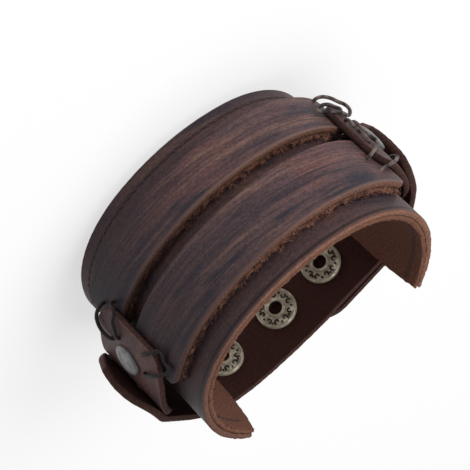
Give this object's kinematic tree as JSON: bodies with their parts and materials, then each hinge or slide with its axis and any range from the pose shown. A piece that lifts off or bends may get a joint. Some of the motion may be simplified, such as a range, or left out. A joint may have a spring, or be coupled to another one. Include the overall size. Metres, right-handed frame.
{
  "type": "cuff bracelet",
  "caption": "Wide leather cuff bracelet with raised bands, laced and riveted side tabs, and an adjustable strap closure with snap fasteners.",
  "frame": {"origin": "middle of the bounding box, on the edge that the cuff rests on", "axes": "+Z along the wrist, -Y towards the crown (back of the hand), +Y towards the closure, +X towards the side whose strap carries the studs"},
  "size_m": [0.0962, 0.0716, 0.05],
  "materials": {
    "leather": "pull-up leather, worn, satin",
    "lining": "matte suede",
    "strap": "matte",
    "lace": "waxed cord",
    "pewter": "antiqued pewter",
    "brass": "antiqued brass"
  },
  "bodies": {
    "root": {"base_outer": "leather", "base_lining": "lining", "band_far_backing": "lining", "band_far": "leather", "band_near_backing": "lining", "band_near": "leather", "tab_stud_side": "leather", "rivet_stud_side": "pewter", "anchor_rivet_stud_side": "pewter", "tab_cap_side": "leather", "rivet_cap_side": "pewter", "anchor_rivet_cap_side": "pewter", "inner_strap": "strap", "outer_strap": "strap", "snap_stud_1": "brass", "snap_stud_2": "brass", "snap_stud_3": "brass", "snap_cap": "brass", "lace_stud_side_far": "lace", "lace_stud_side_near": "lace", "lace_cap_side_far": "lace", "lace_cap_side_run": "lace", "lace_cap_side_near_1": "lace", "lace_cap_side_near_2": "lace"}
  },
  "joints": []
}
